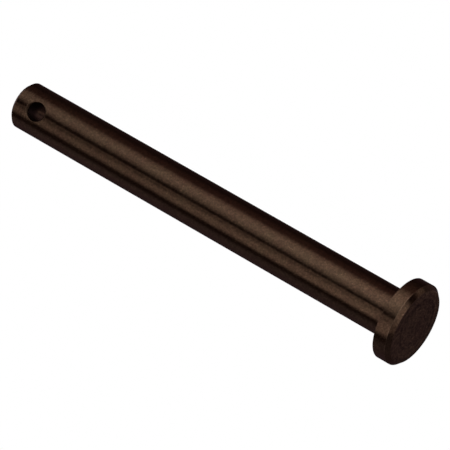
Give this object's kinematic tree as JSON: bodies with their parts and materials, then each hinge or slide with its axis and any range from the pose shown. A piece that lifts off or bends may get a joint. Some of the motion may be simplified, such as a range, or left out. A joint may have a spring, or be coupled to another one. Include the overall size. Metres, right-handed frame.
{
  "type": "clevis pin",
  "caption": "Straight round pin with a flat chamfered head and a cross hole for a cotter pin near its tip; holds a clevis or fork on a lug or eye.",
  "frame": {"origin": "centre of the head's flat face, on which the pin stands", "axes": "+Z along the shank from the head to the tip; the cross hole runs along Y"},
  "size_m": [0.0082, 0.0082, 0.0462],
  "materials": {
    "oxide_steel": "satin dark brown oxide over turned steel"
  },
  "bodies": {
    "root": {"clevis_pin": "oxide_steel"}
  },
  "joints": []
}
